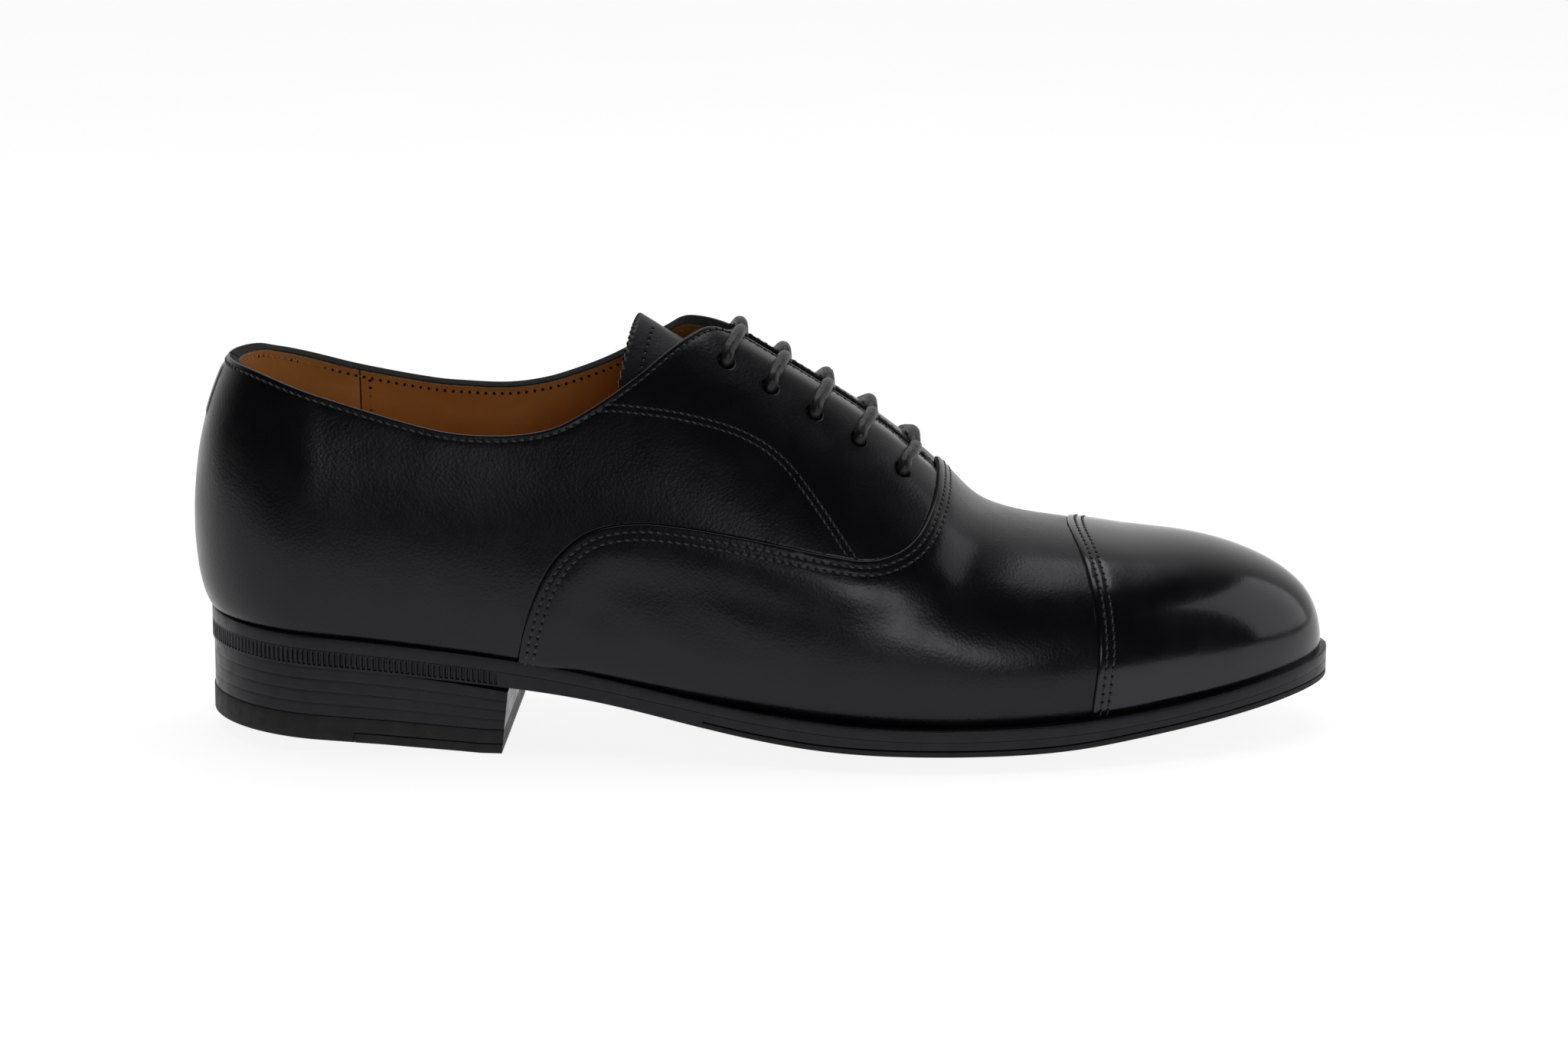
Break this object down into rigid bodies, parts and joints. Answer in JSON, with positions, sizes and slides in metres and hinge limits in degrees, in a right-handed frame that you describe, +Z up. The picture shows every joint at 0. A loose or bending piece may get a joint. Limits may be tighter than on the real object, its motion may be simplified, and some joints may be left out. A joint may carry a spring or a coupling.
{
  "type": "leather oxford shoe",
  "caption": "Right-foot closed-lace cap-toe oxford dress shoe: layered leather upper on a welted leather sole with rubber tread and a stacked heel.",
  "frame": {"origin": "middle of the shoe's footprint box, on the ground", "axes": "+X from heel to toe, +Y to the inner (medial) side of the foot, +Z up"},
  "size_m": [0.3046, 0.1044, 0.1141],
  "materials": {
    "black_calf": "smooth grained black calf, semi-gloss",
    "polished_calf": "black calf polished to a soft mirror",
    "tan_lining": "cognac lining calf, matt",
    "stiffener": "raw leather board",
    "waxed_lace": "round waxed cotton, black",
    "lace_tip": "clear-coated black film",
    "brass": "plain",
    "insole_leather": "oak bark insole shoulder",
    "cork": "granulated cork and resin",
    "steel": "plain",
    "sole_leather": "black inked and waxed sole edge",
    "heel_stack": "black inked stacked leather",
    "sole_rubber": "matt black rubber"
  },
  "bodies": {
    "shoe": {"vamp": "black_calf", "quarter_lateral": "black_calf", "quarter_medial": "black_calf", "heel_tab": "black_calf", "quarter_lining_lateral": "tan_lining", "quarter_lining_medial": "tan_lining", "heel_grip_lining": "tan_lining", "vamp_lining": "tan_lining", "heel_counter": "stiffener", "facing_stay_lateral": "stiffener", "facing_stay_medial": "stiffener", "lace": "waxed_lace", "aglet_1": "lace_tip", "aglet_2": "lace_tip", "eyelet_lateral_1": "brass", "eyelet_medial_1": "brass", "eyelet_lateral_2": "brass", "eyelet_medial_2": "brass", "eyelet_lateral_3": "brass", "eyelet_medial_3": "brass", "eyelet_lateral_4": "brass", "eyelet_medial_4": "brass", "eyelet_lateral_5": "brass", "eyelet_medial_5": "brass", "sock_liner": "tan_lining", "insole": "insole_leather", "cork_filler": "cork", "shank": "steel", "welt": "sole_leather", "heel_rand": "sole_leather", "outsole": "sole_leather", "half_sole": "sole_rubber", "heel_lift_1": "heel_stack", "heel_lift_2": "heel_stack", "heel_lift_3": "heel_stack", "heel_lift_4": "heel_stack", "heel_top_piece": "sole_rubber", "heel_top_insert": "sole_rubber", "heel_nail_1": "steel", "heel_nail_2": "steel", "heel_nail_3": "steel", "heel_nail_4": "steel", "heel_nail_5": "steel"},
    "forepart": {"toe_cap": "polished_calf", "toe_puff": "stiffener"},
    "tongue": {"tongue": "black_calf", "tongue_lining": "tan_lining"}
  },
  "joints": [
    {"name": "forefoot_flex", "type": "hinge", "parent": "shoe", "child": "forepart", "pos_m": [0.05965, 0, 0.009], "axis": [0, -1, 0], "range_deg": [0, 20], "stiffness_Nm_per_rad": 8, "deforming": ["vamp", "vamp_lining", "outsole", "half_sole", "welt", "insole", "sock_liner", "cork_filler"]},
    {"name": "tongue_tilt", "type": "hinge", "parent": "shoe", "child": "tongue", "pos_m": [0.05065, 0, 0.056], "axis": [0, -1, 0], "range_deg": [0, 8], "stiffness_Nm_per_rad": 0.4}
  ]
}
